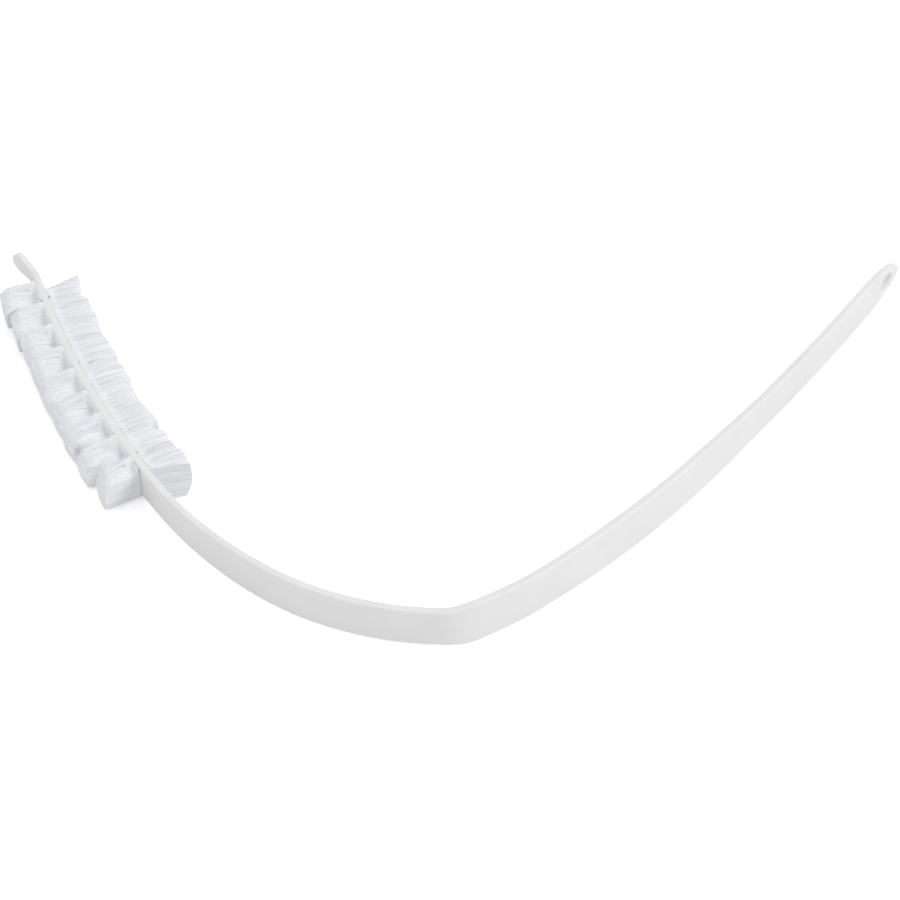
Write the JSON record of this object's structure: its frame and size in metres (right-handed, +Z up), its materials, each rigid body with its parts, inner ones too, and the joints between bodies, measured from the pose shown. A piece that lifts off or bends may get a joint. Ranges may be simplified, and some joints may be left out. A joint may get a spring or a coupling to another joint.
{
  "type": "washing machine cleaning brush",
  "caption": "Flat bent plastic strap that stands on its edge, with short bundles of bristle on both faces of its head for cleaning narrow gaps, and a hanging hole.",
  "frame": {"origin": "on the lower standing edge of the strap, in the middle of the palm, where the brush rests on a table", "axes": "+X along the straight hanging end towards the hanging hole, +Y across the bend towards the side where the head lies, +Z up, away from the surface it rests on"},
  "size_m": [0.2847, 0.2967, 0.02],
  "materials": {
    "strap_plastic": "satin",
    "bristle": "fine fibre",
    "anchor_wire": "plain flat wire"
  },
  "bodies": {
    "root": {"handle_strap": "strap_plastic", "bristle_tuft_1": "bristle", "bristle_tuft_2": "bristle", "bristle_tuft_3": "bristle", "bristle_tuft_4": "bristle", "bristle_tuft_5": "bristle", "bristle_tuft_6": "bristle", "bristle_tuft_7": "bristle", "bristle_tuft_8": "bristle", "bristle_tuft_9": "bristle", "tuft_anchor_1": "anchor_wire", "tuft_anchor_2": "anchor_wire", "tuft_anchor_3": "anchor_wire", "tuft_anchor_4": "anchor_wire", "tuft_anchor_5": "anchor_wire", "tuft_anchor_6": "anchor_wire", "tuft_anchor_7": "anchor_wire", "tuft_anchor_8": "anchor_wire", "tuft_anchor_9": "anchor_wire"}
  },
  "joints": []
}
